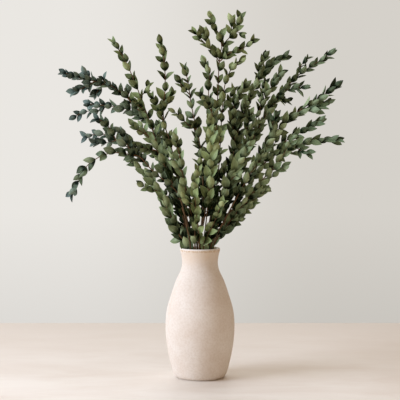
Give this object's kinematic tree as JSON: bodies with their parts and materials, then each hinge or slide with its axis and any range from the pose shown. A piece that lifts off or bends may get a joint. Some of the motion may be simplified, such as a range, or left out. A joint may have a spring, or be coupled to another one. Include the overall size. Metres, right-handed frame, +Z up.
{
  "type": "preserved eucalyptus in vase",
  "caption": "Airy bunch of preserved small-leaved eucalyptus sprays, with opposite cupped leaves, standing in a matt stoneware bottle vase.",
  "frame": {"origin": "middle of the vase's flat foot, on the surface that it stands on", "axes": "+Z up along the vase's axis; the front of the arrangement looks towards -Y, with the long drooping sprays on the -X side"},
  "size_m": [0.5091, 0.2711, 0.6636],
  "materials": {
    "stoneware": "matte",
    "foliage_green": "matte",
    "foliage_olive": "matte",
    "foliage_blue": "matte"
  },
  "bodies": {
    "root": {"vase": "stoneware", "spray_upper_left": "foliage_blue", "spray_left_tall": "foliage_olive", "spray_left_mid": "foliage_blue", "spray_left_low": "foliage_green", "spray_left_inner": "foliage_green", "spray_left_under": "foliage_green", "spray_tall_left": "foliage_olive", "spray_centre_left": "foliage_green", "spray_tall_centre": "foliage_olive", "spray_centre_mid": "foliage_green", "spray_centre_right": "foliage_olive", "spray_right_tall": "foliage_green", "spray_right_upper": "foliage_green", "spray_right_long": "foliage_green", "spray_right_spread": "foliage_green", "spray_right_mid": "foliage_green", "spray_right_low": "foliage_green", "spray_right_under": "foliage_green", "spray_front_left": "foliage_green", "spray_front_centre": "foliage_olive", "spray_front_right": "foliage_green", "spray_front_low": "foliage_olive", "spray_front_drop": "foliage_olive", "spray_back_left": "foliage_green", "spray_back_centre": "foliage_green", "spray_back_right": "foliage_green", "spray_back_low": "foliage_green"}
  },
  "joints": []
}
